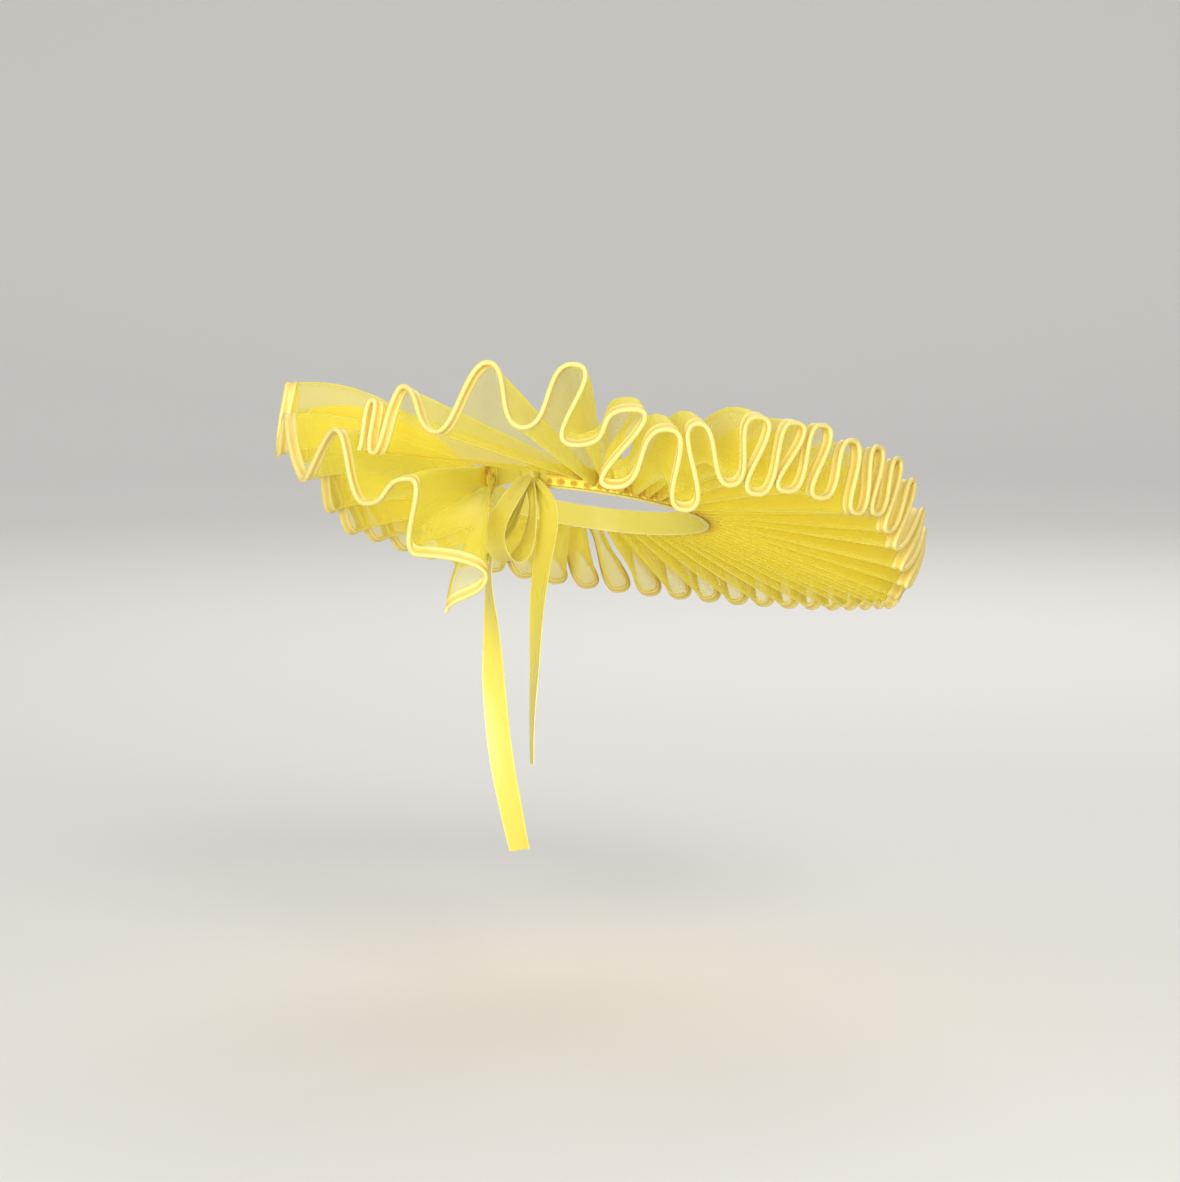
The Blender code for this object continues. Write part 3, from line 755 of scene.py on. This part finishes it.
def satin(tree, base, groove_shade_and_selvage, middle, bare, tinted, roughness, spacing):
    """Polyester satin: long floats over a plain ground, smooth, with a soft directional gloss.

    Away from the line at middle, the cloth has its base colour at the distance bare and is tinted
    with the second colour at the distance tinted: painted shade in the binding's groove, or the
    paler woven edges of the ribbon.
    """
    place, across = cloth_place(tree)
    off = calculate(tree, "ABSOLUTE", calculate(tree, "SUBTRACT", across, middle))
    # Where this mask is high the second colour comes in: painted shade in the binding's groove, or
    # the paler woven edges on the ribbon.
    folded = ramp(tree, off, bare, tinted, 0.0, 0.85)
    # Clouds in the tint and the gloss: 17 mm along the cloth and 5 mm across it.
    clouds = noise(tree, stretched(tree, place, 60, 200), 1.0, 3.0)
    tint = calculate(tree, "MULTIPLY", calculate(tree, "MULTIPLY", folded, clouds), 1.5)
    tint[0].use_clamp = True
    uneven = ramp(tree, clouds, 0.3, 0.7, roughness - 0.03, roughness + 0.04, kind="LINEAR")
    # Floats lie 0.15 mm apart and are drawn at the given spacing, so that they show.
    normal = threads(tree, place, spacing, 0.04 * MM, 0.15)
    return thin_cloth(tree, mixed(tree, tint, base, groove_shade_and_selvage), normal, 0.18, {
        "Roughness": uneven, "IOR": 1.5, "Specular IOR Level": 0.75, "Sheen Weight": 0.08,
        "Sheen Roughness": 0.35,
    })


def folded_satin(tree, colours, sizes):
    """The binding's satin: softly glossy, with painted shade in its groove."""
    middle, bare, tinted = (share * sizes.binding_width for share in (0.47, 0.28, 0.10))
    return satin(tree, colours.binding, colours.groove, middle, bare, tinted, 0.42, 0.7 * MM)


def woven_ribbon(tree, colours, sizes):
    """The ribbon's satin: glossier than the binding, with paler woven edges."""
    half = 0.5 * sizes.ribbon_width
    bare, tinted = half - 1.0 * MM, half - 0.4 * MM
    return satin(tree, colours.ribbon, colours.selvage, half, bare, tinted, 0.29, 0.6 * MM)


def sewing_thread(tree, colours, sizes):
    """Sewing thread: spun, slightly fuzzy, a little darker than the cloth it lies on."""
    place = add(tree, "ShaderNodeTexCoord"), "Object"
    # Twist of the thread: 0.6 mm from ply to ply.
    normal = bump(tree, noise(tree, place, 1600.0, 1.0), 0.05 * MM, 0.5)
    return surface(tree, (*colours.thread, 1.0), {
        "Roughness": 0.6, "Sheen Weight": 0.3, "Normal": normal,
    })


def floor_paint(tree, colours, sizes):
    """Matt painted floor: pale and even, with a faint mottle from the roller."""
    place = add(tree, "ShaderNodeTexCoord"), "Object"
    rough = ramp(tree, noise(tree, place, 3.0, 2.0), 0.0, 1.0, 0.75, 0.9, kind="LINEAR")
    return surface(tree, (*colours.floor, 1.0), {"Roughness": rough, "Specular IOR Level": 0.2})


# ---------------- operators

def strip_now():
    return Strip(bpy.context.scene.ruff_sizes.columns)


def crease_height(turn, share):
    """Height of all creases at these turns (columns) and shares.

    Each is a bell across its width that rises and fades along its length.
    """
    height = np.zeros((len(turn), share.shape[-1]))
    for along, width, crest, start, end in CREASES:
        from_middle = np.abs(share - (start + end) / 2) / ((end - start) / 2)
        window = 1 - smooth_step(0.5, 1.0, from_middle)
        for again in range(4):
            centre = along + again * (CREASE_SPAN - CREASE_SHIFT * (again % 2))
            across = (turn - centre) * RIM_TURN / width
            bell = np.exp(-np.clip(across**2, 0, 40))[:, None]
            height += crest * bell * window
    return height * MM


class RUFF_OT_organza(bpy.types.Operator):
    """Makes the sheer cloth of each length of the strip.

    Its surface is the strip's, moved along its normal by the creases, by a slow billow that is
    widest half way, by small gathers that fade away from the neck and by small puckers that fade
    away from the binding's seam.
    """

    bl_idname = "ruff.organza"
    bl_label = "Organza"

    def execute(self, context):
        sizes = context.scene.ruff_sizes
        strip = strip_now()
        rows = np.linspace(0, 1, sizes.rows + 1)
        rows = rows - 0.1 * np.sin(2 * np.pi * rows)      # closer to each other at both edges
        neck_length = lengths(strip.neck)
        first_cut = strip.length[strip.runs["right_back"].start]
        for name, run in strip.runs.items():
            length, width = strip.length[run], strip.width[run]
            first = NECK_GAP / width
            last = 1 - (sizes.binding_width - IN_BINDING) / width
            share = first[:, None] * (1 - rows) + last[:, None] * rows
            grid, normals, _ = strip.at(run, share)
            billow = BILLOW * np.sin(np.pi * rows) * rows * drift(length, BILLOW_PITCH, 3)[:, None]
            puckers = PUCKER * drift(length, PUCKER_PITCH, 5)[:, None]
            puckers = puckers * np.exp(-(1 - rows) * STRIP_WIDTH / PUCKER_FADE)
            wave = 2 * np.pi * neck_length[run] / GATHER_PITCH + 2 * drift(length, 20 * MM, 9)
            depth = GATHER * (0.7 + 0.5 * drift(length, 30 * MM, 7))
            gathers = np.exp(-rows * STRIP_WIDTH / GATHER_FADE) * (np.sin(wave) * depth)[:, None]
            lift = billow + puckers + gathers + crease_height(strip.turn[run], share)
            ends = smooth_step(0, FLAT_END, length - first_cut)
            ends = ends * smooth_step(0, FLAT_END, strip.length[-1] - length)
            grid = grid + normals * (lift * ends[:, None])[..., None]
            shell(
                f"organza_{name}", grid, normals, sizes.organza_thickness,
                cloth_map(length[:, None], share * STRIP_WIDTH),
                sheer_organza, "organza", f"ruff_{name}",
            )
        return {"FINISHED"}


class RUFF_OT_binding(bpy.types.Operator):
    """Makes the satin binding, folded over the rim of each length.

    Its section, a bead at each edge with a groove between, is carried along the rim's line.
    """

    bl_idname = "ruff.binding"
    bl_label = "Binding"

    def execute(self, context):
        binding_width = context.scene.ruff_sizes.binding_width
        strip = strip_now()
        half = np.array(BINDING_SECTION)
        along, across = np.concatenate([half, half[-2:0:-1] * [1, -1]]).T * MM
        inward = (binding_width - along * binding_width / along.max())[:, None]
        for name, run in strip.runs.items():
            edge, normals, outward = strip.at(run, np.ones((len(strip.width[run]), 1)))
            length = strip.length[run, None]
            swell = 1 + 0.08 * drift(length, 30 * MM, 11)
            rings = edge - outward * inward + normals * (across * swell)[..., None]
            swept(
                f"satin_binding_{name}", rings, cloth_map(length, along),
                folded_satin, "binding_satin", f"binding_{name}",
            )
        return {"FINISHED"}


class RUFF_OT_hems(bpy.types.Operator):
    """Makes the narrow rolled hems at the strip's two ends and the seams between its lengths.

    Each is a small oval section carried along one column of the strip, from neck to rim.
    """

    bl_idname = "ruff.hems"
    bl_label = "Hems and seams"

    def execute(self, context):
        strip = strip_now()
        starts = {name: run.start for name, run in strip.runs.items()}
        columns = {
            "hem_right_end": (starts["right_back"], HEM),
            "hem_left_end": (len(strip.width) - 1, HEM),
            "seam_right_side": (starts["right_front"], SEAM),
            "seam_centre_front": (starts["left_front"], SEAM),
            "seam_left_side": (starts["left_back"], SEAM),
        }
        to_binding = context.scene.ruff_sizes.binding_width - 2 * MM
        shares = np.linspace(0.02, 1 - to_binding / STRIP_WIDTH, 40)
        uv = cloth_map(shares[:, None] * STRIP_WIDTH, circle(OVAL_SIDES) * MM)
        for name, (column, section) in columns.items():
            line, normals, _ = strip.at(slice(column, column + 1), shares[None])
            line, normals = line[0], normals[0]
            aside = np.cross(unit(np.gradient(line, axis=0)), normals)
            swept(name, oval(line, aside, normals, *section), uv, sheer_organza, "organza")
        return {"FINISHED"}


class RUFF_OT_band(bpy.types.Operator):
    """Makes the neckband and the tie that leads from its left end to the knot.

    Each is a level strip: its middle line runs round the neck at the band's slope, and its
    height narrows evenly to the knot along the tie.
    """

    bl_idname = "ruff.band"
    bl_label = "Neckband and tie"

    def execute(self, context):
        round_neck = np.linspace(BAND_FROM, BAND_TO, 260)
        to_knot = np.linspace(BAND_TO + 0.1, TIE_TO, 40)
        spread, thin = KNOT_REACH - NECK_REACH, context.scene.ruff_sizes.ribbon_thickness
        self.strip("neckband_satin", round_neck, 0.0, 1.0, BAND_WALL, "neckband")
        self.strip("tie_left_satin", to_knot, spread, TIE_PINCH, thin, "tie_left")
        self.rolled_edges()
        self.raw_edge()
        return {"FINISHED"}

    def strip(self, name, azimuth, spread, pinch, thickness, node):
        """A strip whose reach grows by the spread and whose height is pinched along its length."""
        across = np.linspace(-1, 1, 9)
        t = np.linspace(0, 1, len(azimuth))
        low = point(azimuth, NECK_REACH + spread * t, neck_plane(azimuth))
        middle = low + [0, 0, BAND_HEIGHT / 2]
        half = (1 + (pinch - 1) * t)[:, None] * across * BAND_HEIGHT / 2
        grid = middle[:, None] + half[..., None] * UP
        outward = level_outward(low)[:, None] + 0 * grid
        creased = 0.5 * MM * (1 - pinch) * np.sin(across * 7) * t[:, None]
        run = NECK_REACH * np.radians(azimuth - azimuth[0])
        puckers = 0.15 * MM * pinch * across**2 * drift(run, 3.6 * MM, 31)[:, None]
        grid = grid + outward * (creased + puckers)[..., None]
        uv = cloth_map(run[:, None], (across + 1) / 2 * BAND_HEIGHT)
        shell(name, grid, outward, thickness, uv, woven_ribbon, "ribbon_satin", node)

    def raw_edge(self):
        """The organza's own neck edge, sewn flat to the band behind the pleats.

        Along the band's foot every pleat leaves a round hollow, and above them the cloth is
        gathered tight: a fine wave along the band, deeper and shallower by turns.
        """
        azimuth = np.linspace(PLEAT_FROM - 0.8, PLEAT_TO + 0.8, 2400)
        arc = NECK_REACH * np.radians(azimuth)
        rows = np.linspace(0, 1, 17)
        # The edge is ragged, and lower at the strip's left end.
        ragged = 0.4 * MM * drift(arc, 4 * MM, 23)
        lower = 1 - 0.65 * smooth_step(PLEAT_TO - 8, PLEAT_TO - 1, azimuth)
        rise = rows * (RAW_EDGE_HEIGHT * lower + ragged)[:, None]
        # Hollows: one a pleat, its middle about 2.7 mm up, a little out of line.
        pitch = 2 * NECK_REACH * np.radians(PLEAT_TO - PLEAT_FROM) / (len(rim_turns()) - 1)
        beside = ((arc - NECK_REACH * np.radians(PLEAT_FROM)) / pitch + 0.5) % 1 - 0.5
        beside = beside + 0.08 * drift(arc, 3 * pitch, 24)
        above = rise - (2.7 + 0.4 * drift(arc, pitch, 25))[:, None] * MM
        from_middle = np.hypot(beside[:, None] * pitch / HOLLOW_WIDE, above / HOLLOW_TALL)
        from_middle = from_middle * (1 + 0.15 * drift(arc, pitch, 26))[:, None]
        hollow = 1 - smooth_step(0.4, 1.15, from_middle)
        # Furrows: shallow beside the hollows, where the cloth stands furthest off the band.
        wave = np.sin(2 * np.pi * arc / FURROW_PITCH + 1.5 * drift(arc, 9 * MM, 21))
        depth = FURROW * (1 + 0.5 * drift(arc, 5 * MM, 22))
        low_down = 1 - smooth_step(3.5 * MM, 7.5 * MM, rise)
        off = (wave * depth)[:, None] * (1 - 0.8 * low_down)
        off = off + (1.25 + 1.35 * low_down - 1.5 * hollow) * MM
        low = point(azimuth, NECK_REACH, neck_plane(azimuth) + RAW_EDGE_FOOT)
        outward = level_outward(low)[:, None] + np.zeros((1, len(rows), 1))
        grid = low[:, None] + rise[..., None] * UP + outward * off[..., None]
        # The distance off the band is the second map coordinate: the material paints shade where it
        # is small and light where it is large.
        uv = cloth_map(arc[:, None], off)
        shell("organza_raw_edge", grid, outward, 0.3 * MM, uv, gathered_organza, "organza")

    def rolled_edges(self):
        """A plump piped edge along the band's foot and its head: a round section on each line."""
        azimuth = np.linspace(BAND_FROM + 0.5, BAND_TO - 0.5, 700)
        arc = NECK_REACH * np.radians(azimuth)
        wide = PIPING * (1 + 0.07 * np.sin(2 * np.pi * arc / (3.3 * MM)))[:, None, None]
        uv = cloth_map(arc[:, None], circle(OVAL_SIDES) * MM / 8)
        places = {"neckband_foot": PIPING_IN, "neckband_head": BAND_HEIGHT - PIPING_IN}
        for name, rise in places.items():
            line = point(azimuth, NECK_REACH + 0.5 * MM, neck_plane(azimuth) + rise)
            rings = oval(line, level_outward(line), UP[None], wide, wide)
            swept(name, rings, uv, folded_satin, "ribbon_satin")


class RUFF_OT_bow(bpy.types.Operator):
    """Makes the bow's two loops, its two tails and its knot from the ribbon.

    A ribbon's middle line is a smooth line through its table's rows. Across it the ribbon is
    slightly cupped, and where it is drawn together its width folds into waves.
    """

    bl_idname = "ruff.bow"
    bl_label = "Bow"

    def execute(self, context):
        sizes = context.scene.ruff_sizes
        for name, rows in RIBBONS.items():
            grid, normals, uv = ribbon(rows, sizes.ribbon_width)
            shell(
                f"{name}_satin", grid, normals, sizes.ribbon_thickness, uv,
                woven_ribbon, "ribbon_satin", name,
            )
        self.knot()
        return {"FINISHED"}

    def knot(self):
        """The knot: a squared round, swollen half way up, with wraps that slant across it."""
        around = circle(64)
        level = np.linspace(-1, 1, 25)[:, None]
        centre = point(KNOT_AZIMUTH, KNOT_REACH, KNOT_HEIGHT)
        outward = level_outward(centre)
        squared = (np.abs(np.cos(around)) ** 4 + np.abs(np.sin(around)) ** 4) ** -0.25
        wraps = 1 + 0.05 * np.sin(level * 9 + 1.2 * np.sin(around))
        swell = squared * (1 - 0.3 * level**4) * wraps
        wide, deep, tall = KNOT_SIZE
        rings = (
            centre
            + (np.cos(around) * swell * wide / 2)[..., None] * np.cross(outward, UP)
            + (np.sin(around) * swell * deep / 2)[..., None] * outward
            + (level * tall / 2)[..., None] * UP
        )
        uv = cloth_map(around * 5 * MM, (level + 1) * tall / 2)
        swept("bow_knot_satin", rings, uv, woven_ribbon, "ribbon_satin", "bow_knot")


def ribbon(rows, width):
    """Grid, normals and UV of one ribbon."""
    table = np.array(rows)
    at = np.arange(len(table))
    fine = np.linspace(0, len(table) - 1, 14 * (len(table) - 1) + 1)
    right, behind, height, turn, dip, share = (smooth_line(fine, at, c) for c in table.T)
    centre = np.stack([-right, behind, height], -1) * MM
    course = unit(np.gradient(centre, axis=0))
    turn, dip = np.radians(turn), np.radians(dip)
    level = np.cos(dip)
    across = np.stack([-np.cos(turn) * level, np.sin(turn) * level, -np.sin(dip)], -1)
    across = unit(across - course * (across * course).sum(-1, keepdims=True))
    normals = np.cross(course, across)
    w = np.linspace(-1, 1, 17)
    gather = np.clip(1 - share, 0, 1)[:, None]
    waves = RIBBON_WAVE * gather * np.sin(w * 1.5 * np.pi + 0.6)
    lift = waves + RIBBON_CUP * (w**2 - 0.4) * (1 - gather)
    aside = share[:, None] * w * width / 2
    grid = (
        centre[:, None]
        + across[:, None] * aside[..., None]
        + normals[:, None] * lift[..., None]
    )
    slope = np.gradient(lift, axis=1) / np.gradient(aside, axis=1)
    facing = unit(normals[:, None] - across[:, None] * slope[..., None])
    return grid, facing, cloth_map(lengths(centre)[:, None], (w + 1) / 2 * width)


class RUFF_OT_sewing(bpy.types.Operator):
    """Makes the stitches: along both faces of the binding's inner edge, and from each pleat to
    the neckband. Each row is evenly spaced points along one line of the strip."""

    bl_idname = "ruff.sewing"
    bl_label = "Sewing"

    def execute(self, context):
        sizes = context.scene.ruff_sizes
        strip = strip_now()
        from_edge = sizes.binding_width - STITCH_IN
        pitch = STITCH_PITCH * sizes.stitch
        for name, run in strip.runs.items():
            line, normals, _ = strip.at(run, (1 - from_edge / strip.width[run])[:, None])
            length = strip.length[run]
            at = np.arange(length[0] + sizes.stitch, length[-1] - sizes.stitch, pitch)
            places, out = (
                np.stack([np.interp(at, length, c) for c in rows[:, 0].T], 1)
                for rows in (line, normals)
            )
            along = np.gradient(places, axis=0)
            rise = out * STITCH_RISE
            stitches(
                f"binding_stitches_{name}", np.concatenate([places + rise, places - rise]),
                np.concatenate([along, along]), np.concatenate([out, -out]),
                sizes.stitch, sizes.thread, "binding_satin",
            )
        turns = np.round(strip.turn % 1, 6) == 0
        neck = strip.neck[turns] + strip.outward[turns] * 0.4 * MM
        stitches(
            "pleat_stitches", neck, np.tile(UP, (len(neck), 1)), level_outward(neck),
            PLEAT_STITCH, 1.4 * sizes.thread, "ribbon_satin",
        )
        return {"FINISHED"}


class RUFF_OT_cuts(bpy.types.Operator):
    """Works out the strip's lines; it states no sizes."""

    bl_idname = "ruff.cuts"
    bl_label = "Cut sizes"

    def execute(self, context):
        strip = strip_now()
        return {"FINISHED"}


class RUFF_OT_stage(bpy.types.Operator):
    """Makes the floor, the lights and the camera."""

    bl_idname = "ruff.stage"
    bl_label = "Stage"

    def execute(self, context):
        self.floor()
        self.lights(context.scene)
        self.camera(context.scene)
        return {"FINISHED"}

    def floor(self):
        """A flat round floor whose edge curves up: a smooth step of its reach, squared."""
        reach = np.concatenate([[0.01], np.linspace(0.5, FLOOR_REACH, 14)])[:, None]
        height = FLOOR_HEIGHT + FLOOR_RISE * smooth_step(FLOOR_FLAT, FLOOR_REACH, reach) ** 2
        turn = circle(64)
        rings = np.stack(
            np.broadcast_arrays(reach * np.cos(turn), reach * np.sin(turn), height), -1
        )
        index = np.arange(rings[..., 0].size).reshape(-1, len(turn))
        faces = [*ring_faces(index)[:, ::-1], index[0]]
        build("floor", rings, faces, rings[..., :2], floor_paint)

    def lights(self, scene):
        world = bpy.data.worlds.new("studio")
        scene.world = world
        world.use_nodes = True
        back = world.node_tree.nodes["Background"]
        back.inputs["Color"].default_value = (0.93, 0.94, 0.96, 1)
        back.inputs["Strength"].default_value = 0.5
        for name, spot, target, across, power, tint in LAMPS:
            light = bpy.data.lights.new(name, "AREA")
            light.shape = "DISK"
            light.size = across
            light.energy = power
            light.color = tint
            self.place(bpy.data.objects.new(name, light), spot, target)
        scene.view_settings.view_transform = "Standard"
        scene.cycles.transparent_max_bounces = 28      # light passes this many faces of organza

    def camera(self, scene):
        raised = np.radians(CAMERA_ELEVATION)
        towards = point(CAMERA_AZIMUTH, -np.cos(raised), np.sin(raised))
        lens = bpy.data.cameras.new("camera")
        lens.lens = CAMERA_LENS
        lens.clip_end = 50
        camera = bpy.data.objects.new("camera", lens)
        self.place(camera, np.array(CAMERA_FROM) + towards * CAMERA_DISTANCE, CAMERA_AIM)
        scene.camera = camera

    def place(self, thing, spot, target):
        """Puts a lamp or the camera at the spot, facing the target."""
        thing.location = spot
        way = Vector(target) - Vector(spot)
        thing.rotation_euler = way.to_track_quat("-Z", "Y").to_euler()
        bpy.context.scene.collection.objects.link(thing)


class RUFF_PT_panel(bpy.types.Panel):
    bl_label = "Ruff collar"
    bl_idname = "RUFF_PT_panel"
    bl_space_type = "VIEW_3D"
    bl_region_type = "UI"
    bl_category = "Ruff"

    def draw(self, context):
        for group in (context.scene.ruff_sizes, context.scene.ruff_colours):
            for field in type(group).__annotations__:
                self.layout.prop(group, field)
        for operator in OPERATORS:
            self.layout.operator(operator.bl_idname)


OPERATORS = (
    RUFF_OT_stage, RUFF_OT_organza, RUFF_OT_binding, RUFF_OT_hems, RUFF_OT_band, RUFF_OT_bow,
    RUFF_OT_sewing, RUFF_OT_cuts,
)
CLASSES = (RuffSizes, RuffColours, *OPERATORS, RUFF_PT_panel)


def register():
    for each in CLASSES:
        bpy.utils.register_class(each)
    bpy.types.Scene.ruff_sizes = PointerProperty(type=RuffSizes)
    bpy.types.Scene.ruff_colours = PointerProperty(type=RuffColours)


def unregister():
    del bpy.types.Scene.ruff_colours
    del bpy.types.Scene.ruff_sizes
    for each in reversed(CLASSES):
        bpy.utils.unregister_class(each)


def main():
    register()
    for operator in OPERATORS:
        group, name = operator.bl_idname.split(".")
        getattr(getattr(bpy.ops, group), name)()


if __name__ == "__main__":
    main()
